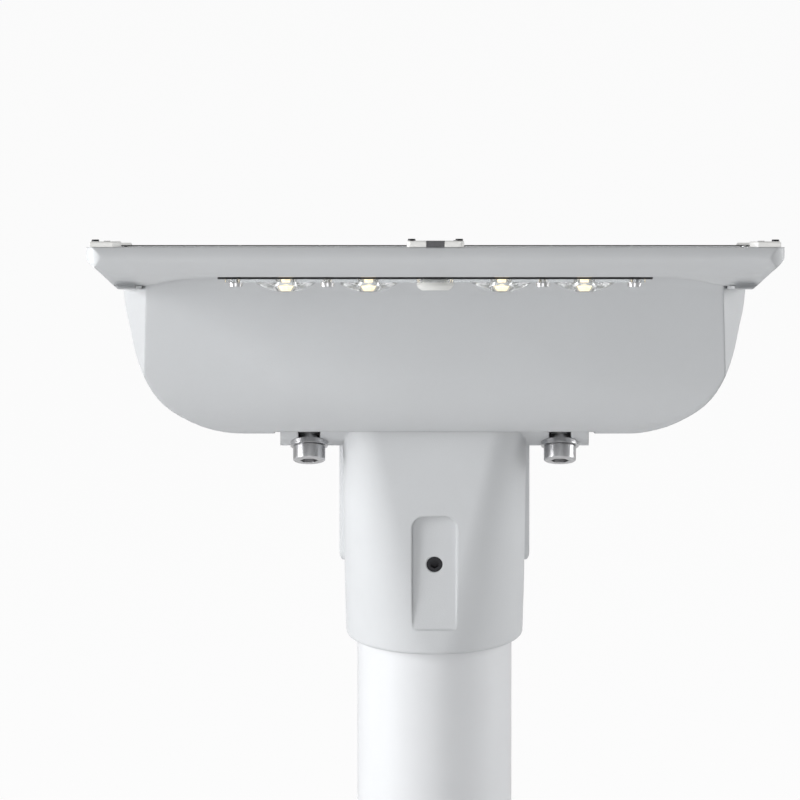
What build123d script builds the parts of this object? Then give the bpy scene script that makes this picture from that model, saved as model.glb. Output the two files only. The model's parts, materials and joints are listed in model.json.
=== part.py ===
from build123d import *
from math import sin, cos, radians
import os

# ---------------------------------------------------------------------------
# Solar street lamp: a flat-topped die-cast head that carries a solar panel on
# top and an LED module underneath, held by a tilting slip-fitter on a 76.1 mm
# pole.  +Z is up the pole, the lamp faces -Y, and the origin is the centre of
# the lower end of the pole stub.  Millimetres.
#
# The head has its own frame, tipped nose-up about the tilt axis: x across,
# y rearward, z along the panel's normal, origin on the tilt axis.
# ---------------------------------------------------------------------------

SIDES = (-1, 1)
CUT = Mode.SUBTRACT
KEEP = Mode.INTERSECT

# pole and slip-fitter
POLE_R = 38.05
POLE_WALL = 3.0
PAINT = 0.2
STUB = 250.0                # exposed pole below the fitter's mouth
SOCKET = 71.0               # depth of the fitter's bore
BORE_R = 38.3
TILT_Z = 405.4              # height of the tilt axis
SADDLE_R1, SADDLE_R2 = 49.6, 58.0   # inner and outer radius of the saddle plate
SADDLE_HX = 75.9            # half-width of the saddle plate
SADDLE_FRONT = 57.0         # ends of the saddle plate, degrees forward of straight down
SADDLE_REAR = -3.0
SLOT_W = 10.8
SLOT_X = 61.7               # clamp slots and screws, either side of the middle
SLOT_ENDS = (28.3, 48.7)    # slot's round ends, degrees forward of straight down
SLOT_MID = 38.5
SET_SCREW_Z = STUB + 46.4
SET_SCREW_AZ = (0.0, 115.0, -115.0)     # degrees around the pole from the front

# head
TILT = 15.0                 # nose-up, the lowest setting
HEAD_FRONT, HEAD_REAR = -480.0, 220.0
HEAD_LEN = HEAD_REAR - HEAD_FRONT
HEAD_MID = (HEAD_FRONT + HEAD_REAR) / 2
HEAD_ENDS = ((HEAD_FRONT, 1), (HEAD_REAR, -1))   # y of each end, y direction inward
HEAD_HX = 167.3             # half-width over the rim
RIM_Z = 39.3
UNDER_Z = 25.0              # flat underside of the front wing
WING_BASE_Z = 19.0          # lowest level of the wing's edges
BOWL_Z = -52.0              # bottom of the bowl
BOWL_TOP_Z = 32.0           # the bowl runs up into the wing to here
WALL = 3.0
SEAT_R = 49.4               # convex seat in the head for the saddle plate
RECESS_HX = 78.8            # recess around the fitter: half-width, rear end and ceiling
RECESS_Y = 88.0
CEILING_Z = -43.7
LIP_Y = -37.8               # edge of the bowl over the saddle plate
SCREW_LEAN = 13.8           # clamp screws lean forward by this from the head's normal

# rear slope of the bowl
SLOPE_FOOT_Y = 100.0
SLOPE_TOP = (209.0, 16.0)   # y, z
SLOPE_ANGLE = 31.96
BUTTON = (85.0, 150.0)      # x, y of the fittings on the slope
VENT = (-85.0, 150.0)

# solar panel
PANEL_HX = 152.7
PANEL_FRONT, PANEL_REAR = -472.5, 212.5
PANEL_LEN = PANEL_REAR - PANEL_FRONT
PANEL_Y = (PANEL_FRONT + PANEL_REAR) / 2
PANEL_CORNER_R = 2.5
LEDGE_Z = 34.6              # ledge in the rim that the panel seal lies on
BACKSHEET_Z = 36.1
CELL_Z = 36.5
RIBBON_Z = 36.95
GLASS_Z, GLASS_TOP = 37.1, 40.3
JUNCTION_Y = -53.0

# LED module; the places in it are measured from its own centre
LED_Y = -290.0
LENS_HX, LENS_HY = 101.8, 42.0
LED_BOARD_HX, LED_BOARD_HY = 90.5, 30.5
LED_SPOTS = [(x, y) for x in (-72.2, -32.2, 32.2, 72.2) for y in (-21.0, 21.0)]
LENS_CORNER_SCREWS = [(-96.5, -36), (96.5, -36), (-96.5, 36), (96.5, 36)]
LENS_MID_SCREWS = [(-52.2, 0), (52.2, 0)]
LENS_SCREWS = LENS_CORNER_SCREWS + LENS_MID_SCREWS
LED_WIRE = (40, 8)

# screws of the panel clips
CORNER_CLIP_SCREWS = [(side * 163.0, end + inward * 10.0)
                      for end, inward in HEAD_ENDS for side in SIDES]
EDGE_CLIP_SCREWS = [(-11.4, -476.4), (11.4, -476.4), (-11.4, 216.2), (11.4, 216.2)]

# battery pack and controller
PACK_Y, PACK_Z = 39.0, 6.0  # centre of the pack
PACK_PITCH = 34.0
PACK_ROW = [(i * PACK_PITCH, 0) for i in (-1.5, -0.5, 0.5, 1.5)]
PACK_POSTS = [(-90, -22), (90, -22), (-90, 100), (90, 100)]
PACK_POST_TOP = -14.2
CTRL_Y = 146.0
CTRL_POSTS = [(-48, CTRL_Y), (48, CTRL_Y)]
CTRL_POST_TOP = -2.2
POST_R = 5.5

os.makedirs("parts", exist_ok=True)

# ---- planes -----------------------------------------------------------------
HEAD_X = Vector(1, 0, 0)
HEAD_Y = Vector(0, cos(radians(TILT)), -sin(radians(TILT)))
HEAD_Z = Vector(0, sin(radians(TILT)), cos(radians(TILT)))
TILT_AXIS = Vector(0, 0, TILT_Z)


def head_point(x, y, z):
    """A point given in the head's frame."""
    return TILT_AXIS + HEAD_X * x + HEAD_Y * y + HEAD_Z * z


def flat_plane(z, x=0, y=0):
    """Plane parallel to the panel; sketch axes are the head's x, y."""
    return Plane(origin=head_point(x, y, z), x_dir=HEAD_X, z_dir=HEAD_Z)


def side_plane(x, y=0, z=0):
    """Plane facing +x; sketch axes are the head's y, z."""
    return Plane(origin=head_point(x, y, z), x_dir=HEAD_Y, z_dir=HEAD_X)


def front_plane(y, x=0, z=0):
    """Plane facing the head's front; sketch axes are the head's x, z."""
    return Plane(origin=head_point(x, y, z), x_dir=HEAD_X, z_dir=HEAD_Y * -1)


def led_plane(z, x=0, y=0):
    """Flat plane centred on the LED module, or x, y away from its centre."""
    return flat_plane(z, x, LED_Y + y)


def screw_plane(x, r):
    """Plane square to a clamp screw at radius r from the tilt axis, facing its head."""
    lean = radians(SCREW_LEAN)
    outward = HEAD_Y * -sin(lean) + HEAD_Z * -cos(lean)
    return Plane(origin=head_point(x, 0, 0) + outward * r, x_dir=HEAD_X, z_dir=outward)


def slope_plane(x, y, out=0.0):
    """Plane on the bowl's rear slope, its normal pointing out of the bowl."""
    normal = HEAD_Y * sin(radians(SLOPE_ANGLE)) - HEAD_Z * cos(radians(SLOPE_ANGLE))
    rise = (SLOPE_TOP[1] - BOWL_Z) / (SLOPE_TOP[0] - SLOPE_FOOT_Y)
    foot = head_point(x, y, BOWL_Z + (y - SLOPE_FOOT_Y) * rise)
    return Plane(origin=foot + normal * out, x_dir=HEAD_X, z_dir=normal)


def pole_side_plane(x=0.0):
    """Plane through the tilt axis, upright with the pole; sketch axes y, z."""
    return Plane(origin=(x, 0, TILT_Z), x_dir=(0, 1, 0), z_dir=(1, 0, 0))


def set_screw_plane(azimuth, r, up=0.0):
    """Plane facing out of the pole at radius r, level with the set screws; sketch x is up."""
    a = radians(azimuth)
    outward = Vector(sin(a), -cos(a), 0)
    origin = Vector(0, 0, SET_SCREW_Z + up) + outward * r
    return Plane(origin=origin, x_dir=(0, 0, 1), z_dir=outward)


def polar(r, angle):
    """Sketch point (y, z) at radius r, angle degrees forward of straight down."""
    return (-r * sin(radians(angle)), -r * cos(radians(angle)))


def mirrored(points):
    """The points reflected to the other side of x = 0, in reverse order."""
    return [(-x, z) for x, z in reversed(points)]


def save(builder, label):
    builder.part.label = label
    export_step(builder.part, f"parts/{label}.step")


# ============================================================================
# POLE
# ============================================================================
with BuildPart() as pole_tube:
    with BuildSketch(Plane.XY):
        Circle(POLE_R)
    extrude(amount=STUB)
    # the end inside the fitter is bare metal, thinner by its paint
    with BuildSketch(Plane.XY.offset(STUB)):
        Circle(POLE_R - PAINT)
    extrude(amount=SOCKET - 0.5)
    with BuildSketch(Plane.XY):
        Circle(POLE_R - POLE_WALL)
    extrude(amount=STUB + SOCKET, mode=CUT)
    chamfer(pole_tube.edges().group_by(Axis.Z)[-1], 0.8)
save(pole_tube, "pole_tube")

# ============================================================================
# SLIP-FITTER
# ============================================================================
# Neck sections, almost round at the mouth: z, half-width x, half-depth y, corner radius
NECK = [
    (STUB, 43.4, 43.4, 42.8),
    (STUB + 30, 44.2, 44.8, 35.5),
    (TILT_Z - 36, 45.1, 47.2, 16.3),
]
PAD_FACE_R = 47.5           # outer face of the pads for the rear set screws
PAD_LEN, PAD_W, PAD_DEPTH, PAD_UP = 68, 18, 12, 20
FLAT_Y = -43.5              # recessed flat around the front set screw
FLAT_W = 21.7
PAST_SADDLE = SADDLE_HX + 5

with BuildPart() as pole_adapter:
    for z, half_x, half_y, corner_r in NECK:
        with BuildSketch(Plane.XY.offset(z)):
            RectangleRounded(2 * half_x, 2 * half_y, corner_r)
    loft(ruled=True)
    # pads for the two rear set screws
    for azimuth in SET_SCREW_AZ[1:]:
        with BuildSketch(set_screw_plane(azimuth, PAD_FACE_R, PAD_UP)):
            RectangleRounded(PAD_LEN, PAD_W, 6)
        extrude(amount=-PAD_DEPTH)
    # saddle plate, started inside its final inner radius
    blank_r, mid_angle = SADDLE_R1 - 6, (SADDLE_FRONT + SADDLE_REAR) / 2
    with BuildSketch(pole_side_plane()):
        with BuildLine():
            Line(polar(blank_r, SADDLE_FRONT), polar(SADDLE_R2, SADDLE_FRONT))
            ThreePointArc(polar(SADDLE_R2, SADDLE_FRONT), polar(SADDLE_R2, mid_angle),
                          polar(SADDLE_R2, SADDLE_REAR))
            Line(polar(SADDLE_R2, SADDLE_REAR), polar(blank_r, SADDLE_REAR))
            ThreePointArc(polar(blank_r, SADDLE_REAR), polar(blank_r, mid_angle),
                          polar(blank_r, SADDLE_FRONT))
        make_face()
    extrude(amount=SADDLE_HX, both=True)
    # the saddle itself: everything inside its inner radius is open
    with BuildSketch(pole_side_plane()):
        Circle(SADDLE_R1)
    extrude(amount=PAST_SADDLE, both=True, mode=CUT)
    # the top of the neck, sloping down rearward so that the head can tip back
    with BuildSketch(pole_side_plane()):
        with BuildLine():
            Polyline(polar(SADDLE_R1, 53), (-36, 10), (70, 10), (70, -93.5), (0, -53.12),
                     polar(SADDLE_R1, 8.03), polar(20, 30), close=True)
        make_face()
    extrude(amount=PAST_SADDLE, both=True, mode=CUT)
    # anything ahead of the saddle plate's front end
    with BuildSketch(pole_side_plane()):
        with BuildLine():
            Polyline(polar(SADDLE_R1 - 1, SADDLE_FRONT), polar(SADDLE_R2 + 14, SADDLE_FRONT),
                     (-70, 10), (-20, 10), close=True)
        make_face()
    extrude(amount=PAST_SADDLE, both=True, mode=CUT)
    # bore for the pole, with a stop shoulder and a cable way above it
    with BuildSketch(Plane.XY.offset(STUB)):
        Circle(BORE_R)
    extrude(amount=SOCKET, mode=CUT)
    with BuildSketch(Plane.XY.offset(STUB + SOCKET - 1)):
        Circle(13)
    extrude(amount=60, mode=CUT)
    # clamp slots: round ends, then the arc between them
    slot_r1, slot_r2 = SADDLE_R1 - 3, SADDLE_R2 + 3
    for slot_x in (-SLOT_X, SLOT_X):
        for angle in SLOT_ENDS:
            outward = Vector(0, *polar(1, angle))
            origin = Vector(slot_x, 0, TILT_Z) + outward * (SADDLE_R1 - 4)
            with BuildSketch(Plane(origin=origin, x_dir=(1, 0, 0), z_dir=outward)):
                Circle(SLOT_W / 2)
            extrude(amount=16, mode=CUT)
        with BuildSketch(pole_side_plane(slot_x)):
            with BuildLine():
                Line(polar(slot_r1, SLOT_ENDS[0]), polar(slot_r2, SLOT_ENDS[0]))
                ThreePointArc(polar(slot_r2, SLOT_ENDS[0]), polar(slot_r2, SLOT_MID),
                              polar(slot_r2, SLOT_ENDS[1]))
                Line(polar(slot_r2, SLOT_ENDS[1]), polar(slot_r1, SLOT_ENDS[1]))
                ThreePointArc(polar(slot_r1, SLOT_ENDS[1]), polar(slot_r1, SLOT_MID),
                              polar(slot_r1, SLOT_ENDS[0]))
            make_face()
        extrude(amount=SLOT_W / 2, both=True, mode=CUT)
    # recessed flat around the front set screw
    with BuildSketch(Plane(origin=(0, FLAT_Y, STUB), x_dir=(1, 0, 0), z_dir=(0, -1, 0))):
        with Locations((0, 36)):
            Rectangle(FLAT_W, 46)
        with Locations((0, 59)):
            RectangleRounded(FLAT_W, 24, 6)
    extrude(amount=12, mode=CUT, taper=-8)
    # set-screw bores
    for azimuth in SET_SCREW_AZ:
        with BuildSketch(set_screw_plane(azimuth, 34)):
            Circle(4.0)
        extrude(amount=20, mode=CUT)
    # softened mouth; the mouth stays sharp if this fillet can't be built
    try:
        fillet(pole_adapter.edges().group_by(Axis.Z)[0].sort_by(SortBy.LENGTH)[-8:], 2.0)
    except Exception:
        pass
save(pole_adapter, "pole_adapter")

SET_SCREW_R = 3.95
SET_SCREW_TIP = 1.2         # length of the cone at the tip
SET_SCREW_BODY = 3.6
with BuildPart() as set_screws:
    for azimuth in SET_SCREW_AZ:
        tip = set_screw_plane(azimuth, POLE_R + 0.1)
        with BuildSketch(tip):
            Circle(2.6)
        with BuildSketch(tip.offset(SET_SCREW_TIP)):
            Circle(SET_SCREW_R)
        loft()
        with BuildSketch(tip.offset(SET_SCREW_TIP)):
            Circle(SET_SCREW_R)
        extrude(amount=SET_SCREW_BODY)
        with BuildSketch(tip.offset(SET_SCREW_TIP + SET_SCREW_BODY)):
            RegularPolygon(2.3, 6)
        extrude(amount=-3.0, mode=CUT)
save(set_screws, "set_screws")

# ============================================================================
# MAIN HOUSING
# ============================================================================
# Right side of the bowl's widest cross-section: x, z
BOWL_SECTION = [
    (154.0, BOWL_TOP_Z), (153.2, 19.6), (152.0, 9.7), (150.2, 1.9), (148.5, -6.0),
    (146.5, -13.9), (143.6, -21.8), (139.6, -29.7), (133.4, -37.5), (128.0, -41.7),
    (121.5, -45.4), (113.3, -48.9), (104.0, -51.2), (94.0, BOWL_Z),
]
# Profile along the bowl: y, z
BOWL_LONG = [(-90, BOWL_TOP_Z), (-90, UNDER_Z), (-74, UNDER_Z), (-60, BOWL_Z),
             (SLOPE_FOOT_Y, BOWL_Z), SLOPE_TOP, (SLOPE_TOP[0], BOWL_TOP_Z)]
# Right side of the plan, front to rear: x, y
BOWL_PLAN = [(141.3, -95), (141.8, -72), (153.6, 4), (154.0, 60), (150.0, 212)]
BOWL_REAR_R = 30            # rear corners in plan
# Corners of the long profile to round: y, z, radius
BOWL_ROUNDS = [(-60, BOWL_Z, 36), (-74, UNDER_Z, 11), (SLOPE_FOOT_Y, BOWL_Z, 60),
               (*SLOPE_TOP, 9)]

# The same three outlines and roundings for the room inside the bowl
ROOM_Z, ROOM_TOP_Z = BOWL_Z + WALL, 34.6
ROOM_LONG = [(-71, ROOM_TOP_Z), (-71, 20), (-57, ROOM_Z), (99, ROOM_Z), (205, 17.2),
             (205, ROOM_TOP_Z)]
ROOM_PLAN = [(138.3, -95), (138.8, -72), (150.0, 4), (150.0, 60), (147.0, 206)]
ROOM_ROUNDS = [(-57, ROOM_Z, 36 - WALL), (99, ROOM_Z, 60 - WALL)]


def nearest_vertex(sketch, a, b):
    return sketch.vertices().sort_by(lambda v: (v.X - a) ** 2 + (v.Y - b) ** 2)[0]


def inset(points, distance):
    """Points moved to the right of their direction of travel."""
    moved = []
    for i, (x, z) in enumerate(points):
        x0, z0 = points[max(i - 1, 0)]
        x1, z1 = points[min(i + 1, len(points) - 1)]
        dx, dz = x1 - x0, z1 - z0
        length = (dx * dx + dz * dz) ** 0.5
        moved.append((x + distance * dz / length, z - distance * dx / length))
    return moved


def bowl_shape(long_points, rounds, section, plan_points, rear_r):
    """A solid bounded by a long profile, a cross-section and a plan."""
    with BuildPart() as shape:
        with BuildSketch(side_plane(0)) as profile:
            with BuildLine():
                Polyline(*long_points, close=True)
            make_face()
            for y, z, r in rounds:
                fillet(nearest_vertex(profile, y, z), r)
        extrude(amount=180, both=True)
        top_x, top_z = section[0]
        left = mirrored(section)
        with BuildSketch(front_plane(0)):
            with BuildLine():
                Line((0, top_z), section[0])
                Spline(section, tangents=((-0.02, -1), (-1, 0)))
                Line(section[-1], left[0])
                Spline(left, tangents=((-1, 0), (0.02, 1)))
                Line((-top_x, top_z), (0, top_z))
            make_face()
        extrude(amount=300, both=True, mode=KEEP)
        with BuildSketch(flat_plane(0)) as plan:
            with BuildLine():
                Polyline(*plan_points, *mirrored(plan_points), close=True)
            make_face()
            fillet(plan.vertices().filter_by(lambda v: v.Y > 200), rear_r)
            fillet(plan.vertices().filter_by(lambda v: -10 < v.Y < 80), 60)
        extrude(amount=120, both=True, mode=KEEP)
    return shape.part


bowl = bowl_shape(BOWL_LONG, BOWL_ROUNDS, BOWL_SECTION, BOWL_PLAN, BOWL_REAR_R)

room_section = inset(BOWL_SECTION, WALL)
room_section[0] = (room_section[0][0], ROOM_TOP_Z)
room_section[-1] = (BOWL_SECTION[-1][0], ROOM_Z)

# --- the room inside the bowl, kept clear of the seat, its side walls and the posts
POST_FOOT_Z = -70           # below the bowl's floor
with BuildPart() as room:
    add(bowl_shape(ROOM_LONG, ROOM_ROUNDS, room_section, ROOM_PLAN, BOWL_REAR_R - WALL))
    # seat block
    block_r, block_z, block_y = SEAT_R - WALL, CEILING_Z + WALL, RECESS_Y + WALL
    with BuildSketch(side_plane(0)):
        with BuildLine():
            Polyline((22.3, block_z), (block_y, block_z), (block_y, -90), (-60, -90),
                     polar(70, 48.5), polar(block_r, 48.5))
            ThreePointArc(polar(block_r, 48.5), polar(block_r, 10), (22.3, block_z))
        make_face()
    extrude(amount=RECESS_HX + WALL, both=True, mode=CUT)
    # bosses around the clamp screws
    for screw_x in (-SLOT_X, SLOT_X):
        with BuildSketch(screw_plane(screw_x, 25)):
            Circle(10.5)
        extrude(amount=30, mode=CUT)
    for posts, post_top in ((PACK_POSTS, PACK_POST_TOP), (CTRL_POSTS, CTRL_POST_TOP)):
        with BuildSketch(flat_plane(POST_FOOT_Z)):
            with Locations(*posts):
                Circle(POST_R)
        extrude(amount=post_top - POST_FOOT_Z, mode=CUT)

# --- front wing and rim, one slab with a rolled front edge and sloping sides
# Rolled front edge, top to bottom: y, z
NOSE = [(-477.8, RIM_Z), (-479.8, 33.5), (-477.5, 28.0), (-471.0, 24.6),
        (-458.0, 21.0), (-440.0, WING_BASE_Z)]
# Right edge of the cross-section, top to bottom: x, z
WING_EDGE = [(HEAD_HX, RIM_Z), (HEAD_HX, 35.2), (165.8, 31.6), (160.6, 26.8),
             (155.2, 21.6), (152.0, WING_BASE_Z)]
# Right side of the hollow underside, from its skirt inward: x, z
HOLLOW_EDGE = [(143.6, 20.6), (128, 23.4), (100, UNDER_Z)]
HOLLOW_HX, HOLLOW_BASE_Z = HOLLOW_EDGE[0][0], 10

with BuildPart() as wing:
    with BuildSketch(side_plane(0)):
        with BuildLine():
            Line((HEAD_REAR, RIM_Z), NOSE[0])
            Spline(NOSE, tangents=((-1.0, -1.2), (1, 0)))
            Line(NOSE[-1], (204, WING_BASE_Z))
            Polyline((204, WING_BASE_Z), (HEAD_REAR, 31), (HEAD_REAR, RIM_Z))
        make_face()
    extrude(amount=200, both=True)
    left_edge = mirrored(WING_EDGE)
    with BuildSketch(front_plane(0)):
        with BuildLine():
            Polyline(*WING_EDGE[:2])
            Spline(WING_EDGE[1:-1], tangents=((0, -1), (-1, -1)))
            Polyline(*WING_EDGE[-2:], *left_edge[:2])
            Spline(left_edge[1:-1], tangents=((-1, 1), (0, 1)))
            Polyline(*left_edge[-2:], WING_EDGE[0])
        make_face()
    extrude(amount=600, both=True, mode=KEEP)
    with BuildSketch(flat_plane(0, y=HEAD_MID)):
        RectangleRounded(2 * HEAD_HX + 1, HEAD_LEN, 9)
    extrude(amount=120, both=True, mode=KEEP)
    # hollow underside ahead of the bowl, with a skirt down each side
    left_hollow = mirrored(HOLLOW_EDGE)
    with BuildSketch(front_plane(-60)):
        with BuildLine():
            Polyline((HOLLOW_HX, HOLLOW_BASE_Z), HOLLOW_EDGE[0])
            Spline(HOLLOW_EDGE, tangents=((-1, 0.08), (-1, 0)))
            Polyline(HOLLOW_EDGE[-1], left_hollow[0])
            Spline(left_hollow, tangents=((-1, 0), (-1, -0.08)))
            Polyline(left_hollow[-1], (-HOLLOW_HX, HOLLOW_BASE_Z), (HOLLOW_HX, HOLLOW_BASE_Z))
        make_face()
    extrude(amount=450, mode=CUT)

TRAY_FLOOR_Z = 28.0
TRAY_FRONT, TRAY_REAR, TRAY_HX = -466, 204, 146
RIB_BASE_Z = TRAY_FLOOR_Z - 1.5
RIB_T = 2.2
CROSS_RIB_Y = (-430, -385, -200, -150, -100)
LONG_RIB_X = (-125, 125)
SADDLE_GAP_R = SADDLE_R2 + 0.35
LED_SCREWS_IN_HEAD = [(x, LED_Y + y) for x, y in LENS_SCREWS]
# Straight holes along the head's z: starting z, places, radius, depth upward
HOLES = [
    (20, [(LED_WIRE[0], LED_Y + LED_WIRE[1])], 3.2, 14),
    (20, LED_SCREWS_IN_HEAD, 2.0, 10),
    (31, CORNER_CLIP_SCREWS + EDGE_CLIP_SCREWS, 1.1, 12),
    (-26, PACK_POSTS, 1.7, 14),
    (-13, CTRL_POSTS, 1.7, 13),
]

with BuildPart() as main_housing:
    add(wing.part)
    add(bowl)
    # panel recess and the tray below it
    with BuildSketch(flat_plane(LEDGE_Z, y=PANEL_Y)):
        RectangleRounded(2 * PANEL_HX + 1.0, PANEL_LEN + 1.0, 3)
    extrude(amount=20, mode=CUT)
    with BuildSketch(flat_plane(TRAY_FLOOR_Z, y=(TRAY_FRONT + TRAY_REAR) / 2)):
        RectangleRounded(2 * TRAY_HX, TRAY_REAR - TRAY_FRONT, 5)
    extrude(amount=8, mode=CUT)
    add(room.part, mode=CUT)
    # thicker floor over the LED module, and ribs across and along the wing
    with BuildSketch(led_plane(RIB_BASE_Z)):
        RectangleRounded(2 * 108, 2 * 48, 6)
    extrude(amount=4.6)
    with BuildSketch(flat_plane(RIB_BASE_Z)):
        with Locations(*[(0, y) for y in CROSS_RIB_Y]):
            Rectangle(294, RIB_T)
        with Locations(*[(x, -280) for x in LONG_RIB_X]):
            Rectangle(RIB_T, 372)
    extrude(amount=6.0)
    # recess for the saddle plate and the neck
    with BuildSketch(side_plane(0)):
        with BuildLine():
            ThreePointArc(polar(SEAT_R, 45), polar(SEAT_R, 8), (23.03, CEILING_Z))
            Polyline((23.03, CEILING_Z), (RECESS_Y, CEILING_Z), (RECESS_Y, -90),
                     (LIP_Y, -90), polar(SADDLE_GAP_R, 40.35))
            ThreePointArc(polar(SADDLE_GAP_R, 40.35), polar(SADDLE_GAP_R, 43),
                          polar(SADDLE_GAP_R, 45))
            Line(polar(SADDLE_GAP_R, 45), polar(SEAT_R, 45))
        make_face()
    extrude(amount=RECESS_HX, both=True, mode=CUT)
    # bores for the threaded inserts behind the seat
    for screw_x in (-SLOT_X, SLOT_X):
        for start_r, bore_r, depth in ((29, 7.0, 30), (20, 5.6, 20)):
            with BuildSketch(screw_plane(screw_x, start_r)):
                Circle(bore_r)
            extrude(amount=depth, mode=CUT)
    # cable way through the seat
    with BuildSketch(flat_plane(-52)):
        SlotOverall(34, 16, rotation=90)
    extrude(amount=16, mode=CUT)
    # LED pocket
    with BuildSketch(led_plane(20)):
        RectangleRounded(2 * (LED_BOARD_HX + 0.9), 2 * (LED_BOARD_HY + 0.9), 3)
    extrude(amount=7.5, mode=CUT)
    for z, places, hole_r, depth in HOLES:
        with BuildSketch(flat_plane(z)):
            with Locations(*places):
                Circle(hole_r)
        extrude(amount=depth, mode=CUT)
    # power button and vent bores through the rear slope
    for place, bore_r in ((BUTTON, 8.05), (VENT, 6.05)):
        with BuildSketch(slope_plane(*place, 6)):
            Circle(bore_r)
        extrude(amount=-16, mode=CUT)
save(main_housing, "main_housing")

# ============================================================================
# TILT HARDWARE
# ============================================================================
with BuildPart() as clamp_inserts:
    for screw_x in (-SLOT_X, SLOT_X):
        with BuildSketch(screw_plane(screw_x, 29.0)):
            Circle(7.0)
            Circle(4.95, mode=CUT)
        extrude(amount=19.6)
save(clamp_inserts, "clamp_inserts")

# the washers' inner faces are curved to sit on the saddle plate
with BuildPart() as clamp_washers:
    for screw_x in (-SLOT_X, SLOT_X):
        with BuildSketch(screw_plane(screw_x, 55)):
            Circle(9.2)
            Circle(5.3, mode=CUT)
        extrude(amount=5.0)
    with BuildSketch(side_plane(-100)):
        Circle(SADDLE_R2 + 0.1)
    extrude(amount=200, mode=CUT)
save(clamp_washers, "clamp_washers")

THREAD_START_R, THREAD_PITCH, THREAD_COUNT = 27.6, 1.5, 19
THREAD_ROOT, THREAD_CREST = 4.2, 4.9
CLAMP_HEAD_RADIUS, CLAMP_HEAD_H = 7.9, 7.3
with BuildPart() as clamp_screws:
    for screw_x in (-SLOT_X, SLOT_X):
        with BuildSketch(screw_plane(screw_x, 26.0)):
            Circle(4.35)
        extrude(amount=34.1)
        # thread, as separate rings
        for i in range(THREAD_COUNT):
            ring = screw_plane(screw_x, THREAD_START_R + i * THREAD_PITCH)
            with BuildSketch(Plane(origin=ring.origin, x_dir=ring.x_dir,
                                   z_dir=ring.x_dir.cross(ring.z_dir))):
                with BuildLine():
                    Polyline((THREAD_ROOT, -0.62), (THREAD_CREST, -0.12),
                             (THREAD_CREST, 0.12), (THREAD_ROOT, 0.62), close=True)
                make_face()
            revolve(axis=Axis(ring.origin, ring.z_dir))
        head = screw_plane(screw_x, 60.05)
        with BuildSketch(head):
            Circle(CLAMP_HEAD_RADIUS)
        extrude(amount=CLAMP_HEAD_H)
        with BuildSketch(head.offset(CLAMP_HEAD_H)):
            RegularPolygon(4.62, 6)
        extrude(amount=-4.6, mode=CUT)
    head_edges = (clamp_screws.edges().filter_by(GeomType.CIRCLE)
                  .filter_by(lambda e: abs(e.radius - CLAMP_HEAD_RADIUS) < 0.01))
    # the heads stay sharp if this chamfer can't be built
    try:
        chamfer(head_edges, 0.5)
    except Exception:
        pass
save(clamp_screws, "clamp_screws")

# ============================================================================
# SOLAR PANEL
# ============================================================================
CELL_HALF, CELL_CORNER = 36.0, 4.5      # half-width of a cell, cut off its corners
CELL_PITCH_X, CELL_PITCH_Y = 74.6, 75.4
CELLS_X, CELLS_Y = 4, 9
RIBBON_OFFSET = 18                      # ribbons either side of a cell's middle


def head_height(face):
    """Height of a face's centre in the head's frame."""
    return (face.center() - TILT_AXIS).dot(HEAD_Z)


with BuildPart() as panel_seal:
    with BuildSketch(flat_plane(LEDGE_Z, y=PANEL_Y)):
        RectangleRounded(2 * PANEL_HX, PANEL_LEN, PANEL_CORNER_R)
        RectangleRounded(2 * 147.5, PANEL_LEN - 12, 2, mode=CUT)
    extrude(amount=BACKSHEET_Z - LEDGE_Z)
save(panel_seal, "panel_seal")

with BuildPart() as panel_backsheet:
    with BuildSketch(flat_plane(BACKSHEET_Z, y=PANEL_Y)):
        RectangleRounded(2 * PANEL_HX, PANEL_LEN, PANEL_CORNER_R)
    extrude(amount=CELL_Z - BACKSHEET_Z)
save(panel_backsheet, "panel_backsheet")

cut_half = CELL_HALF - CELL_CORNER
cell_outline = [
    (CELL_HALF, cut_half), (cut_half, CELL_HALF), (-cut_half, CELL_HALF),
    (-CELL_HALF, cut_half), (-CELL_HALF, -cut_half), (-cut_half, -CELL_HALF),
    (cut_half, -CELL_HALF), (CELL_HALF, -cut_half),
]
with BuildPart() as solar_cells:
    with BuildSketch(flat_plane(CELL_Z, y=PANEL_Y)):
        with GridLocations(CELL_PITCH_X, CELL_PITCH_Y, CELLS_X, CELLS_Y):
            Polygon(*cell_outline, align=None)
    extrude(amount=RIBBON_Z - CELL_Z)
save(solar_cells, "solar_cells")

with BuildPart() as cell_ribbons:
    with BuildSketch(flat_plane(RIBBON_Z, y=PANEL_Y)):
        for i in range(CELLS_X):
            column_x = (i - (CELLS_X - 1) / 2) * CELL_PITCH_X
            with Locations((column_x - RIBBON_OFFSET, 0), (column_x + RIBBON_OFFSET, 0)):
                Rectangle(1.5, CELLS_Y * CELL_PITCH_Y - 4)
    extrude(amount=GLASS_Z - RIBBON_Z)
save(cell_ribbons, "cell_ribbons")

with BuildPart() as panel_glass:
    with BuildSketch(flat_plane(GLASS_Z, y=PANEL_Y)):
        RectangleRounded(2 * PANEL_HX, PANEL_LEN, PANEL_CORNER_R)
    extrude(amount=GLASS_TOP - GLASS_Z)
    chamfer(panel_glass.faces().sort_by(head_height)[-1].edges(), 0.4)
save(panel_glass, "panel_glass")

with BuildPart() as junction_box:
    with BuildSketch(flat_plane(BACKSHEET_Z, y=JUNCTION_Y)):
        RectangleRounded(62, 24, 3)
    extrude(amount=-13)
    # a lug at each end
    with BuildSketch(flat_plane(26, y=JUNCTION_Y)):
        with Locations((-33, 0), (33, 0)):
            Rectangle(8, 16)
    extrude(amount=3)
save(junction_box, "junction_box")

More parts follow.
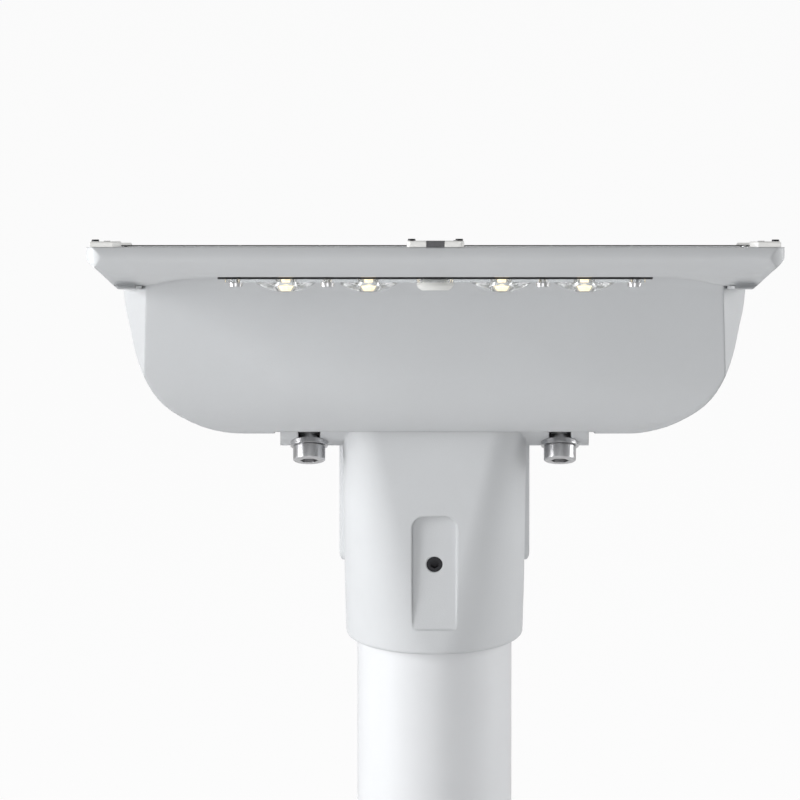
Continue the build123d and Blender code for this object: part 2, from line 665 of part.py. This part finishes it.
# --- clips that hold the panel's edge down on the rim
CLIP_Z = RIM_Z + 0.02
CORNER_CLIP_T = 2.75
EDGE_CLIP_T = 3.1
CLIP_HOLE_R = 1.25
PANEL_GAP = 0.3             # room for the panel, in its whole width and length
PANEL_CUT_Z = 30
PANEL_CUT_H = GLASS_TOP + 0.03 - PANEL_CUT_Z


def chamfer_tops(clips, thickness):
    """Chamfer the clips' top edges; they stay sharp if the chamfer can't be built."""
    tops = [edge for face in clips.faces() if head_height(face) > CLIP_Z + thickness - 0.1
            for edge in face.outer_wire().edges()]
    try:
        chamfer(tops, 0.7)
    except Exception:
        pass


with BuildPart() as corner_clips:
    for end, inward in HEAD_ENDS:
        y = end + inward * 1.8
        for side in SIDES:
            with BuildSketch(flat_plane(CLIP_Z)):
                with BuildLine():
                    Polyline((side * 158.4, y), (side * 165.6, y),
                             (side * 165.6, y + inward * 34), (side * 150.6, y + inward * 34),
                             (side * 150.6, y + inward * 5.2), (side * 154.6, y), close=True)
                make_face()
            extrude(amount=CORNER_CLIP_T)
    with BuildSketch(flat_plane(PANEL_CUT_Z, y=PANEL_Y)):
        RectangleRounded(2 * PANEL_HX + PANEL_GAP, PANEL_LEN + PANEL_GAP, PANEL_CORNER_R)
    extrude(amount=PANEL_CUT_H, mode=CUT)
    with BuildSketch(flat_plane(38)):
        with Locations(*CORNER_CLIP_SCREWS):
            Circle(CLIP_HOLE_R)
    extrude(amount=6, mode=CUT)
    chamfer_tops(corner_clips, CORNER_CLIP_T)
save(corner_clips, "corner_clips")

EDGE_CLIP_INSET = 1.4       # from the head's end to the clip
with BuildPart() as edge_clips:
    for end, inward in HEAD_ENDS:
        with BuildSketch(flat_plane(CLIP_Z, y=end + inward * (EDGE_CLIP_INSET + 6.5))):
            RectangleRounded(27.6, 13, 2)
        extrude(amount=EDGE_CLIP_T)
    with BuildSketch(flat_plane(PANEL_CUT_Z, y=PANEL_Y)):
        RectangleRounded(2 * PANEL_HX + PANEL_GAP, PANEL_LEN + PANEL_GAP, PANEL_CORNER_R)
    extrude(amount=PANEL_CUT_H, mode=CUT)
    chamfer_tops(edge_clips, EDGE_CLIP_T)
    # notch for the key, and screw holes
    with BuildSketch(flat_plane(38)):
        with Locations(*[(0, end + inward * 2) for end, inward in HEAD_ENDS]):
            Rectangle(8.8, 7)
        with Locations(*EDGE_CLIP_SCREWS):
            Circle(CLIP_HOLE_R)
    extrude(amount=6, mode=CUT)
save(edge_clips, "edge_clips")

with BuildPart() as edge_clip_keys:
    for end, inward in HEAD_ENDS:
        with BuildSketch(flat_plane(CLIP_Z, y=end + inward * (EDGE_CLIP_INSET + 2.1))):
            Rectangle(8.7, 3.9)
        extrude(amount=3.0)
save(edge_clip_keys, "edge_clip_keys")

CLIP_SCREW_TIP_Z, CLIP_SCREW_HEAD_H = 32, 0.9
with BuildPart() as clip_screws:
    for places, thickness in ((CORNER_CLIP_SCREWS, CORNER_CLIP_T),
                              (EDGE_CLIP_SCREWS, EDGE_CLIP_T)):
        clip_top = CLIP_Z + thickness
        for x, y in places:
            with BuildSketch(flat_plane(CLIP_SCREW_TIP_Z, x, y)):
                Circle(1.0)
            extrude(amount=clip_top - CLIP_SCREW_TIP_Z)
            with BuildSketch(flat_plane(clip_top, x, y)):
                Circle(1.9)
            extrude(amount=CLIP_SCREW_HEAD_H, taper=12)
            with BuildSketch(flat_plane(clip_top + CLIP_SCREW_HEAD_H, x, y)):
                RegularPolygon(0.7, 6)
            extrude(amount=-0.6, mode=CUT)
save(clip_screws, "clip_screws")

# ============================================================================
# LED MODULE
# ============================================================================
with BuildPart() as led_board:
    with BuildSketch(led_plane(25.7)):
        RectangleRounded(2 * LED_BOARD_HX, 2 * LED_BOARD_HY, 2.5)
        with Locations(LED_WIRE, *LENS_MID_SCREWS):
            Circle(2.6, mode=CUT)
    extrude(amount=1.75)
save(led_board, "led_board")

# Round part of an emitter, top to bottom: top z, radius, depth, taper
EMITTER_DOME = [(24.4, 3.3, 2.4, 12), (22.05, 2.7, 1.5, 32)]
with BuildPart() as led_emitters:
    for x, y in LED_SPOTS:
        with BuildSketch(led_plane(25.68, x, y)):
            RectangleRounded(7.0, 7.0, 0.6)
        extrude(amount=-1.3)
        for z, r, depth, taper in EMITTER_DOME:
            with BuildSketch(led_plane(z, x, y)):
                Circle(r)
            extrude(amount=-depth, taper=taper)
save(led_emitters, "led_emitters")

with BuildPart() as lens_gasket:
    with BuildSketch(led_plane(23.9)):
        RectangleRounded(2 * 105.2, 2 * (LENS_HY + 1.4), 6)
        RectangleRounded(2 * 89.0, 2 * 30.0, 3, mode=CUT)
        with Locations(*LENS_CORNER_SCREWS):
            Circle(2.2, mode=CUT)
    extrude(amount=1.05)
save(lens_gasket, "lens_gasket")

DOME_R, DOME_H = 15.0, 4.9
DOME_SPHERE_R = (DOME_R ** 2 + DOME_H ** 2) / (2 * DOME_H)
DOME_ARC_ANGLE = 0.29       # radians from the dome's axis to a point midway on its arc
dome_mid = (DOME_SPHERE_R * sin(DOME_ARC_ANGLE),
            DOME_SPHERE_R - DOME_H - DOME_SPHERE_R * cos(DOME_ARC_ANGLE))
with BuildPart() as lens_plate:
    with BuildSketch(led_plane(23.85)):
        RectangleRounded(2 * LENS_HX, 2 * LENS_HY, 5)
    extrude(amount=-1.5)
    # a dome under each emitter, hollow above
    for x, y in LED_SPOTS:
        with BuildSketch(front_plane(LED_Y + y, x, 22.4)):
            with BuildLine():
                Line((0, 0), (DOME_R, 0))
                ThreePointArc((DOME_R, 0), dome_mid, (0, -DOME_H))
                Line((0, -DOME_H), (0, 0))
            make_face()
        revolve(axis=Axis(head_point(x, LED_Y + y, 0), HEAD_Z * -1))
        with BuildSketch(led_plane(24, x, y)):
            Circle(5.2)
        extrude(amount=-5.2, mode=CUT, taper=8)
    # holes for the sensor lens and the screws
    with BuildSketch(led_plane(24)):
        Circle(9.0)
        with Locations(*LENS_SCREWS):
            Circle(2.0)
    extrude(amount=-3, mode=CUT)
save(lens_plate, "lens_plate")

LENS_SCREW_Z, LENS_SCREW_HEAD_H = 22.3, 2.1     # underside of the lens plate
with BuildPart() as lens_screws:
    for x, y in LENS_SCREWS:
        with BuildSketch(led_plane(LENS_SCREW_Z, x, y)):
            Circle(3.4)
        extrude(amount=-LENS_SCREW_HEAD_H, taper=10)
        with BuildSketch(led_plane(LENS_SCREW_Z, x, y)):
            Circle(1.85)
        extrude(amount=7.0)
        with BuildSketch(led_plane(LENS_SCREW_Z - LENS_SCREW_HEAD_H, x, y)):
            RegularPolygon(1.3, 6)
        extrude(amount=1.3, mode=CUT)
save(lens_screws, "lens_screws")

# Layers of the sensor lens, top to bottom: top z, radius, depth, taper
SENSOR_LENS = [(23.8, 8.9, 3.0, 0), (20.8, 8.9, 1.4, 35), (19.4, 7.9, 0.9, 60)]
with BuildPart() as sensor_lens:
    for z, r, depth, taper in SENSOR_LENS:
        with BuildSketch(led_plane(z)):
            Circle(r)
        extrude(amount=-depth, taper=taper)
    with BuildSketch(led_plane(24)):
        Circle(7.0)
    extrude(amount=-4.0, mode=CUT, taper=10)
save(sensor_lens, "sensor_lens")

with BuildPart() as motion_sensor:
    with BuildSketch(led_plane(25.65)):
        Circle(4.6)
    extrude(amount=-3.2)
    with BuildSketch(led_plane(22.45)):
        Rectangle(4.0, 3.0)
    extrude(amount=-0.5)
save(motion_sensor, "motion_sensor")

# ============================================================================
# BATTERY
# ============================================================================
BATTERY_R, BATTERY_LEN = 16.1, 68.5
BATTERY_START_X = 1.2       # inner end of each cell
BATTERY_END_X = BATTERY_START_X + BATTERY_LEN
HOLDER_BORE_R = BATTERY_R + 0.2
HOLDER_LEN, HOLDER_H = 139, 37.6
HOLDER_T = 10

with BuildPart() as battery_bracket:
    with BuildSketch(flat_plane(PACK_POST_TOP + 0.05)):
        with Locations((0, PACK_Y)):
            RectangleRounded(200, 142, 6)
        with Locations((0, PACK_Y - PACK_PITCH), (0, PACK_Y + PACK_PITCH)):
            RectangleRounded(110, 22, 5, mode=CUT)
        with Locations(*PACK_POSTS):
            Circle(2.1, mode=CUT)
    extrude(amount=1.1)
save(battery_bracket, "battery_bracket")

with BuildPart() as bracket_screws:
    for x, y in PACK_POSTS:
        with BuildSketch(flat_plane(-25.0, x, y)):
            Circle(1.6)
        extrude(amount=12.0)
        with BuildSketch(flat_plane(-13.03, x, y)):
            Circle(3.6)
        extrude(amount=2.4, taper=12)
save(bracket_screws, "bracket_screws")

with BuildPart() as battery_cells:
    for row_y, _ in PACK_ROW:
        for side in SIDES:
            with BuildSketch(side_plane(side * BATTERY_START_X, PACK_Y + row_y, PACK_Z)):
                Circle(BATTERY_R)
            extrude(amount=side * BATTERY_LEN)
            # terminal
            with BuildSketch(side_plane(side * BATTERY_END_X, PACK_Y + row_y, PACK_Z)):
                Circle(4.5)
            extrude(amount=side * 1.2)
save(battery_cells, "battery_cells")

for label, side in (("battery_holder_left", -1), ("battery_holder_right", 1)):
    with BuildPart() as holder:
        with BuildSketch(side_plane(side * 62.0, PACK_Y, PACK_Z)):
            RectangleRounded(HOLDER_LEN, HOLDER_H, 3)
        extrude(amount=side * HOLDER_T)
        # sockets for the cells, then smaller holes for the terminals
        for start_x, bore_r, depth in ((61.0, HOLDER_BORE_R, 8.8), (69.0, 6.0, 4)):
            with BuildSketch(side_plane(side * start_x, PACK_Y, PACK_Z)):
                with Locations(*PACK_ROW):
                    Circle(bore_r)
            extrude(amount=side * depth, mode=CUT)
    save(holder, label)

with BuildPart() as battery_divider:
    with BuildSketch(side_plane(-HOLDER_T / 2, PACK_Y, PACK_Z)):
        RectangleRounded(HOLDER_LEN, HOLDER_H, 3)
    extrude(amount=HOLDER_T)
    for side in SIDES:
        with BuildSketch(side_plane(side * 1.1, PACK_Y, PACK_Z)):
            with Locations(*PACK_ROW):
                Circle(HOLDER_BORE_R)
        extrude(amount=side * 6, mode=CUT)
save(battery_divider, "battery_divider")

with BuildPart() as battery_busbars:
    for side in SIDES:
        with BuildSketch(side_plane(side * 72.1, PACK_Y, PACK_Z)):
            RectangleRounded(118, 11, 3)
        extrude(amount=side * 0.4)
        # contact discs
        with BuildSketch(side_plane(side * 71.0, PACK_Y, PACK_Z)):
            with Locations(*PACK_ROW):
                Circle(3.5)
        extrude(amount=side * 1.2)
save(battery_busbars, "battery_busbars")

BATTERY_BOARD_Z, BATTERY_BOARD_T = 24.9, 1.6
with BuildPart() as battery_board:
    with BuildSketch(flat_plane(BATTERY_BOARD_Z, y=PACK_Y)):
        RectangleRounded(62, 58, 2)
    extrude(amount=BATTERY_BOARD_T)
    # components
    with BuildSketch(flat_plane(BATTERY_BOARD_Z + BATTERY_BOARD_T)):
        with Locations(*[(-14 + 9.5 * i, 52) for i in range(4)]):
            Rectangle(6.5, 9)
        with Locations((0, 26)):
            Rectangle(14, 8)
    extrude(amount=1.6)
save(battery_board, "battery_board")

# ============================================================================
# CONTROLLER
# ============================================================================
CASE_X, CASE_Y, CASE_H = 112, 52, 22
CASE_Z = CTRL_POST_TOP + 0.1
CASE_FLOOR_Z = 0.4
LID_Z, LID_T = CASE_Z + CASE_H + 0.02, 2.2
CTRL_BOARD_Z, CTRL_BOARD_T = 5.4, 1.6

with BuildPart() as controller_case:
    with BuildSketch(flat_plane(CASE_Z, y=CTRL_Y)):
        RectangleRounded(CASE_X, CASE_Y, 4)
    extrude(amount=CASE_H)
    with BuildSketch(flat_plane(CASE_FLOOR_Z, y=CTRL_Y)):
        RectangleRounded(107, 47, 3)
    extrude(amount=30, mode=CUT)
    with BuildSketch(flat_plane(-6)):
        with Locations(*CTRL_POSTS):
            Circle(1.9)
    extrude(amount=12, mode=CUT)
save(controller_case, "controller_case")

with BuildPart() as controller_lid:
    with BuildSketch(flat_plane(LID_Z, y=CTRL_Y)):
        RectangleRounded(CASE_X, CASE_Y, 4)
    extrude(amount=LID_T)
    # skirt inside the case
    with BuildSketch(flat_plane(LID_Z, y=CTRL_Y)):
        RectangleRounded(106.6, 46.6, 2.8)
        RectangleRounded(102, 42, 2.2, mode=CUT)
    extrude(amount=-2.0)
    # ribs on top
    with BuildSketch(flat_plane(LID_Z + LID_T, y=CTRL_Y)):
        with Locations(*[(x, 0) for x in range(-40, 41, 10)]):
            Rectangle(3, 38)
    extrude(amount=1.6)
save(controller_lid, "controller_lid")

with BuildPart() as controller_board:
    with BuildSketch(flat_plane(CTRL_BOARD_Z, y=CTRL_Y)):
        Rectangle(84, 44)
    extrude(amount=CTRL_BOARD_T)
    # tall round components, then low square ones
    with BuildSketch(flat_plane(CTRL_BOARD_Z + CTRL_BOARD_T)):
        with Locations((-26, 150)):
            Circle(6.2)
        with Locations((-26, 134)):
            Circle(4.0)
    extrude(amount=9)
    with BuildSketch(flat_plane(CTRL_BOARD_Z + CTRL_BOARD_T)):
        with Locations((6, 150)):
            Rectangle(16, 16)
        with Locations((28, 137), (28, 150)):
            Rectangle(9, 9)
    extrude(amount=4.5)
save(controller_board, "controller_board")

with BuildPart() as controller_screws:
    for x, y in CTRL_POSTS:
        with BuildSketch(flat_plane(-12.0, x, y)):
            Circle(1.6)
        extrude(amount=12.42)
        with BuildSketch(flat_plane(CASE_FLOOR_Z + 0.02, x, y)):
            Circle(3.4)
        extrude(amount=2.2, taper=12)
save(controller_screws, "controller_screws")

# ============================================================================
# CABLES, laid straight; each run is a starting plane and a length along its normal
# ============================================================================
WIRE_R, PANEL_CABLE_R = 1.2, 1.9
PANEL_CABLE_Z = 27.5
LED_RUNS = [
    (led_plane(27.6, *LED_WIRE), 7.2),
    (front_plane(-283.2, LED_WIRE[0], 34.0), -409),
    (flat_plane(23.9, LED_WIRE[0], 124.6), 10.5),
]
PANEL_RUNS = [
    (side_plane(-37.1, JUNCTION_Y, PANEL_CABLE_Z), -50),
    (front_plane(-54.9, -86, PANEL_CABLE_Z), -200),
    (side_plane(-87, 144, PANEL_CABLE_Z), 43),
]
for label, cable_r, runs in (("led_cable", WIRE_R, LED_RUNS),
                             ("panel_cable", PANEL_CABLE_R, PANEL_RUNS)):
    with BuildPart() as cable:
        for start, length in runs:
            with BuildSketch(start):
                Circle(cable_r)
            extrude(amount=length)
    save(cable, label)

with BuildPart() as battery_cable:
    with BuildSketch(front_plane(68.3)):
        with Locations((14, 27.8), (20, 27.8)):
            Circle(WIRE_R)
    extrude(amount=-52.0)
    # block at the rear end
    with BuildSketch(flat_plane(22.2, 17, 122)):
        Rectangle(11, 5)
    extrude(amount=6.8)
save(battery_cable, "battery_cable")

# ============================================================================
# POWER BUTTON AND VENT, on the bowl's rear slope
# ============================================================================
BEZEL_R = 10.9
BEZEL_OUT = 0.84            # underside of the bezel, out from the slope
NUT_OUT = -3.6              # outer face of both nuts, inside the wall
CAP_OUT, CAP_H = -1.3, 4.6

with BuildPart() as button_seal:
    with BuildSketch(slope_plane(*BUTTON, 0.02)):
        Circle(10.4)
        Circle(8.2, mode=CUT)
    extrude(amount=0.8)
save(button_seal, "button_seal")

with BuildPart() as button_body:
    with BuildSketch(slope_plane(*BUTTON, BEZEL_OUT)):
        Circle(BEZEL_R)
    extrude(amount=1.9)
    with BuildSketch(slope_plane(*BUTTON, BEZEL_OUT)):
        Circle(7.9)
    extrude(amount=-20)
    chamfer(button_body.edges().filter_by(GeomType.CIRCLE)
            .filter_by(lambda e: abs(e.radius - BEZEL_R) < 0.01)
            .sort_by(lambda e: e.center().Z)[0], 0.6)
    with BuildSketch(slope_plane(*BUTTON, 4)):
        Circle(6.6)
    extrude(amount=-10, mode=CUT)
save(button_body, "button_body")

with BuildPart() as button_nut:
    with BuildSketch(slope_plane(*BUTTON, NUT_OUT)):
        RegularPolygon(12.0, 6)
        Circle(8.0, mode=CUT)
    extrude(amount=-3.5)
save(button_nut, "button_nut")

with BuildPart() as button_spring:
    spring_foot = slope_plane(*BUTTON, -5.7)
    with BuildLine():
        coil = Helix(pitch=0.8, height=2.4, radius=3.6,
                     center=spring_foot.origin, direction=spring_foot.z_dir)
    with BuildSketch(Plane(origin=coil @ 0, z_dir=coil % 0)):
        Circle(0.25)
    sweep(is_frenet=True)
save(button_spring, "button_spring")

with BuildPart() as button_cap:
    with BuildSketch(slope_plane(*BUTTON, CAP_OUT)):
        Circle(6.45)
    extrude(amount=CAP_H)
    chamfer(button_cap.edges().filter_by(GeomType.CIRCLE)
            .sort_by(lambda e: e.center().Z)[0], 0.5)
    # ring groove in the outer face
    with BuildSketch(slope_plane(*BUTTON, CAP_OUT + CAP_H)):
        Circle(3.6)
        Circle(2.9, mode=CUT)
    extrude(amount=-0.3, mode=CUT)
save(button_cap, "button_cap")

with BuildPart() as vent_plug:
    with BuildSketch(slope_plane(*VENT, 0.02)):
        RegularPolygon(9.0, 6)
    extrude(amount=3.4)
    with BuildSketch(slope_plane(*VENT, 3.4)):
        Circle(7.0)
    extrude(amount=3.0, taper=8)
    with BuildSketch(slope_plane(*VENT, 0.02)):
        Circle(5.9)
    extrude(amount=-10)
    with BuildSketch(slope_plane(*VENT, 6)):
        with PolarLocations(3.6, 5):
            Circle(0.8)
    extrude(amount=-20, mode=CUT)
save(vent_plug, "vent_plug")

with BuildPart() as vent_nut:
    with BuildSketch(slope_plane(*VENT, NUT_OUT)):
        RegularPolygon(9.5, 6)
        Circle(6.0, mode=CUT)
    extrude(amount=-3.0)
save(vent_nut, "vent_nut")
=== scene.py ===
"""Looks and stage for a solar-powered LED light with a pole.

Metres, +Z up. The camera stands in front, on the -Y side, so -X is on the left of the view.
"""
import bpy
import json
import math
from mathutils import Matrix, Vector


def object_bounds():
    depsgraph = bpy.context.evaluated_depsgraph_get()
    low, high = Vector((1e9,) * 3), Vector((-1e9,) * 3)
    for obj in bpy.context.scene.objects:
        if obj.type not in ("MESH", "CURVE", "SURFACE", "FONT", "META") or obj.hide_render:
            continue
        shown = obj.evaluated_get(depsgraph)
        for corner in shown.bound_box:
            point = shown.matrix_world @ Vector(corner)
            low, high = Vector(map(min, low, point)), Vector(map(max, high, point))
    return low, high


WHITE = (1, 1, 1, 1)


def plain_bounds():
    return [[float(value) for value in corner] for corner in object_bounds()]


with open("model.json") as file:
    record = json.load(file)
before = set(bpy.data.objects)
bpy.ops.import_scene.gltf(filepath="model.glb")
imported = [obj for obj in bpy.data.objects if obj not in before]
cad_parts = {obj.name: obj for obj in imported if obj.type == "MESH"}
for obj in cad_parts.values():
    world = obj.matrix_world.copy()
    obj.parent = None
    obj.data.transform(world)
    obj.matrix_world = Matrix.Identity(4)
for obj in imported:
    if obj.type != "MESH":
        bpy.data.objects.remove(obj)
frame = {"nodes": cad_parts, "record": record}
cad_box = plain_bounds()


# ---------------------------------------------------------------- shader helpers
def add_mix(tree, kind, factor, first, second):
    """Add a mix node; each input is a socket to link or a fixed RGBA tuple."""
    mix = tree.nodes.new(kind)
    for socket, source in zip(mix.inputs, (factor, first, second)):
        if isinstance(source, tuple):
            socket.default_value = source
        else:
            tree.links.new(source, socket)
    return mix.outputs[0]


def add_noise(tree, coords, scale, detail):
    noise = tree.nodes.new("ShaderNodeTexNoise")
    noise.inputs["Scale"].default_value = scale
    noise.inputs["Detail"].default_value = detail
    tree.links.new(coords, noise.inputs["Vector"])
    return noise.outputs["Fac"]


def add_mapping(tree, coords, setting, value):
    mapping = tree.nodes.new("ShaderNodeMapping")
    mapping.inputs[setting].default_value = value
    tree.links.new(coords, mapping.inputs["Vector"])
    return mapping.outputs["Vector"]


def principled(name, color, rough, rough_var=0.08, metal=0.0, coat=0.0, ior=1.45, trans=0.0,
               var=0.04, var_scale=18.0, bump=0.1, bump_scale=900.0, edge=0.0, stretch=None,
               glow=None, glow_strength=0.0):
    """Make a surface with mottled color and fine grain.

    var and rough_var: spread either side of color (as a share) and of roughness.
    var_scale and bump_scale: noise scales of the mottling and of the grain.
    edge: radius of the shaded edge rounding. stretch: XYZ scale of the noise coordinates.
    """
    material = bpy.data.materials.new(name)
    material.use_nodes = True
    tree = material.node_tree
    nodes, links = tree.nodes, tree.links
    shader = nodes["Principled BSDF"]
    coords = nodes.new("ShaderNodeTexCoord").outputs["Object"]
    if stretch:
        coords = add_mapping(tree, coords, "Scale", stretch)

    mottling = add_noise(tree, coords, scale=var_scale, detail=4)
    dark = (*[c * (1 - var) for c in color], 1)
    light = (*[min(1, c * (1 + var)) for c in color], 1)
    mottled = add_mix(tree, "ShaderNodeMixRGB", mottling, dark, light)
    links.new(mottled, shader.inputs["Base Color"])

    rough_range = nodes.new("ShaderNodeMapRange")
    rough_range.inputs["To Min"].default_value = rough - rough_var
    rough_range.inputs["To Max"].default_value = rough + rough_var
    grain = add_noise(tree, coords, scale=bump_scale, detail=3)
    links.new(grain, rough_range.inputs["Value"])
    links.new(rough_range.outputs["Result"], shader.inputs["Roughness"])

    shader.inputs["Metallic"].default_value = metal
    shader.inputs["Coat Weight"].default_value = coat
    shader.inputs["IOR"].default_value = ior
    shader.inputs["Transmission Weight"].default_value = trans
    if glow:
        shader.inputs["Emission Color"].default_value = (*glow, 1)
        shader.inputs["Emission Strength"].default_value = glow_strength

    relief = nodes.new("ShaderNodeBump")
    relief.inputs["Strength"].default_value = bump
    relief.inputs["Distance"].default_value = 0.0002
    links.new(grain, relief.inputs["Height"])
    links.new(relief.outputs["Normal"], shader.inputs["Normal"])
    if edge:
        bevel = nodes.new("ShaderNodeBevel")
        bevel.samples = 4
        bevel.inputs["Radius"].default_value = edge
        links.new(bevel.outputs["Normal"], relief.inputs["Normal"])
    return material


# ---------------------------------------------------------------- materials
LOOKS = {
    "powder_coat": dict(color=(0.525, 0.537, 0.55), rough=0.5, coat=0.08, bump=0.35,
                        bump_scale=1600, edge=0.0016),
    "pole_paint": dict(color=(0.62, 0.63, 0.645), rough=0.34, coat=0.25, bump=0.08,
                       bump_scale=500, edge=0.0005),
    "stainless": dict(color=(0.60, 0.60, 0.61), rough=0.3, metal=1.0, bump=0.15,
                      bump_scale=1200, edge=0.0003, stretch=(1, 1, 8)),
    "black_oxide": dict(color=(0.035, 0.035, 0.038), rough=0.45, metal=0.9, bump=0.15,
                        bump_scale=1500),
    "brass": dict(color=(0.7, 0.52, 0.25), rough=0.32, metal=1.0, edge=0.0003),
    "silicone": dict(color=(0.016, 0.016, 0.017), rough=0.75, bump=0.2, bump_scale=2500),
    "white_sheet": dict(color=(0.8, 0.8, 0.8), rough=0.6),
    "glass": dict(color=(0.95, 0.97, 0.97), rough=0.05, rough_var=0.02, ior=1.30, trans=1.0,
                  bump=0.01, bump_scale=700),
    "black_plastic": dict(color=(0.03, 0.03, 0.032), rough=0.55, bump=0.3, bump_scale=2200,
                          edge=0.0004),
    "white_plastic": dict(color=(0.78, 0.78, 0.76), rough=0.4, bump_scale=1500, edge=0.0005),
    "grey_plastic": dict(color=(0.09, 0.09, 0.095), rough=0.5, bump=0.15, edge=0.0003),
    "circuit_board": dict(color=(0.75, 0.75, 0.72), rough=0.45, var=0.08, var_scale=300),
    "led_glow": dict(color=(1.0, 0.93, 0.75), rough=0.4, bump=0.05, glow=(1.0, 0.80, 0.50),
                     glow_strength=1.15),
    "clear_lens": dict(color=(0.93, 0.95, 0.96), rough=0.06, rough_var=0.03, ior=1.4,
                       trans=0.95, bump=0.02),
    "cell_wrap": dict(color=(0.05, 0.2, 0.5), rough=0.35, coat=0.3),
}


def make_cell_blue():
    """Near-black blue silicon with fine, pale finger lines."""
    material = principled("cell_blue", color=(0.006, 0.010, 0.028), rough=0.28, coat=0.4,
                          var=0.25, var_scale=40, bump=0.05)
    tree = material.node_tree
    coords = tree.nodes.new("ShaderNodeTexCoord").outputs["Object"]
    tilted = add_mapping(tree, coords, "Rotation", (math.radians(15), 0, 0))
    bands = tree.nodes.new("ShaderNodeTexWave")
    bands.bands_direction = "Y"
    bands.inputs["Scale"].default_value = 140
    tree.links.new(tilted, bands.inputs["Vector"])

    # only the crests of the wave become lines
    crests = tree.nodes.new("ShaderNodeValToRGB")
    crests.color_ramp.elements[0].position = 0.93
    crests.color_ramp.elements[1].position = 0.99
    tree.links.new(bands.outputs["Fac"], crests.inputs[0])

    base_color = tree.nodes["Principled BSDF"].inputs["Base Color"]
    silicon = base_color.links[0].from_socket
    lined = add_mix(tree, "ShaderNodeMixRGB", crests.outputs[0], silicon, (0.18, 0.19, 0.22, 1))
    tree.links.new(lined, base_color)
    return material


materials = {name: principled(name, **look) for name, look in LOOKS.items()}
materials["cell_blue"] = make_cell_blue()

slots = {part["node"]: part["material_slot"] for part in frame["record"]["subparts"]}
slots.update(set_screws="black_oxide", clip_screws="black_oxide")
for name, piece in frame["nodes"].items():
    material = materials[slots[name]]
    if not piece.material_slots:
        piece.data.materials.append(material)
    for slot in piece.material_slots:
        slot.material = material


# ---------------------------------------------------------------- floor
FLOOR_SIZE = 60
FLOOR_GAP = 0.002  # below the lowest point of the product
CAMERA_GLOW = 0.93  # share of plain white the camera sees in the paper


def make_floor_paper():
    """White paper that glows to the camera and is clear from below."""
    material = principled("floor_paper", color=(0.86, 0.86, 0.86), rough=0.9, var=0.01, bump=0.02)
    tree = material.node_tree
    nodes = tree.nodes
    glow = nodes.new("ShaderNodeEmission")
    glow.inputs["Color"].default_value = WHITE
    glow.inputs["Strength"].default_value = 1.0
    rays = nodes.new("ShaderNodeLightPath")
    share = nodes.new("ShaderNodeMath")
    share.operation = "MULTIPLY"
    share.inputs[1].default_value = CAMERA_GLOW
    tree.links.new(rays.outputs["Is Camera Ray"], share.inputs[0])
    paper = add_mix(tree, "ShaderNodeMixShader", share.outputs[0],
                    nodes["Principled BSDF"].outputs[0], glow.outputs[0])
    side = nodes.new("ShaderNodeNewGeometry")
    clear = nodes.new("ShaderNodeBsdfTransparent")
    one_sided = add_mix(tree, "ShaderNodeMixShader", side.outputs["Backfacing"],
                        paper, clear.outputs[0])
    tree.links.new(one_sided, nodes["Material Output"].inputs["Surface"])
    return material


bottom = cad_box[0][2]
bpy.ops.mesh.primitive_plane_add(size=FLOOR_SIZE, location=(0, 0, bottom - FLOOR_GAP))
floor = bpy.context.object
floor.name = "floor"
floor.data.materials.append(make_floor_paper())


# ---------------------------------------------------------------- world
AMBIENT_STRENGTH = 0.37
BACKDROP_STRENGTH = 1.0  # seen by the camera only

scene = bpy.context.scene
world = bpy.data.worlds.new("World")
scene.world = world
world.use_nodes = True
tree = world.node_tree
ambient = tree.nodes["Background"]
rays = tree.nodes.new("ShaderNodeLightPath")
backdrop = tree.nodes.new("ShaderNodeBackground")
for background, strength in ((ambient, AMBIENT_STRENGTH), (backdrop, BACKDROP_STRENGTH)):
    background.inputs["Color"].default_value = WHITE
    background.inputs["Strength"].default_value = strength
sky = add_mix(tree, "ShaderNodeMixShader", rays.outputs["Is Camera Ray"],
              ambient.outputs[0], backdrop.outputs[0])
tree.links.new(sky, tree.nodes["World Output"].inputs[0])


# ---------------------------------------------------------------- lights
LIGHT_TARGET = (0, -0.1, 0.35)


def add_aimed(name, data, location, target):
    """Place a light or camera so that it faces the target."""
    item = bpy.data.objects.new(name, data)
    scene.collection.objects.link(item)
    item.location = location
    aim = Vector(target) - item.location
    item.rotation_euler = aim.to_track_quat("-Z", "Y").to_euler()
    return item


def add_area(name, location, width, height, power):
    light = bpy.data.lights.new(name, "AREA")
    light.shape = "RECTANGLE"
    light.size = width
    light.size_y = height
    light.energy = power
    add_aimed(name, light, location, LIGHT_TARGET)


add_area("key_left", location=(-2.6, -0.9, 0.6), width=1.0, height=2.6, power=112)
add_area("fill_right", location=(2.4, 0.25, 0.6), width=0.4, height=2.2, power=40)
add_area("front_soft", location=(0.0, -3.2, 0.8), width=1.4, height=1.4, power=18)


# ---------------------------------------------------------------- camera
ELEVATION = math.radians(15.2)
VIEW_TARGET = Vector((-0.017, -0.0092, 0.3710))
VIEW_WIDTH = 0.39405  # width seen at the target
LENS = 1600.0  # mm
SENSOR_WIDTH = 36.0  # mm

camera = bpy.data.cameras.new("cam")
camera.lens = LENS
camera.sensor_width = SENSOR_WIDTH
camera.clip_end = 500
distance = LENS * VIEW_WIDTH / SENSOR_WIDTH
toward_camera = Vector((0, -math.cos(ELEVATION), math.sin(ELEVATION)))
scene.camera = add_aimed("cam", camera, VIEW_TARGET + toward_camera * distance, VIEW_TARGET)
scene.view_settings.view_transform = "Standard"
scene.view_settings.look = "None"
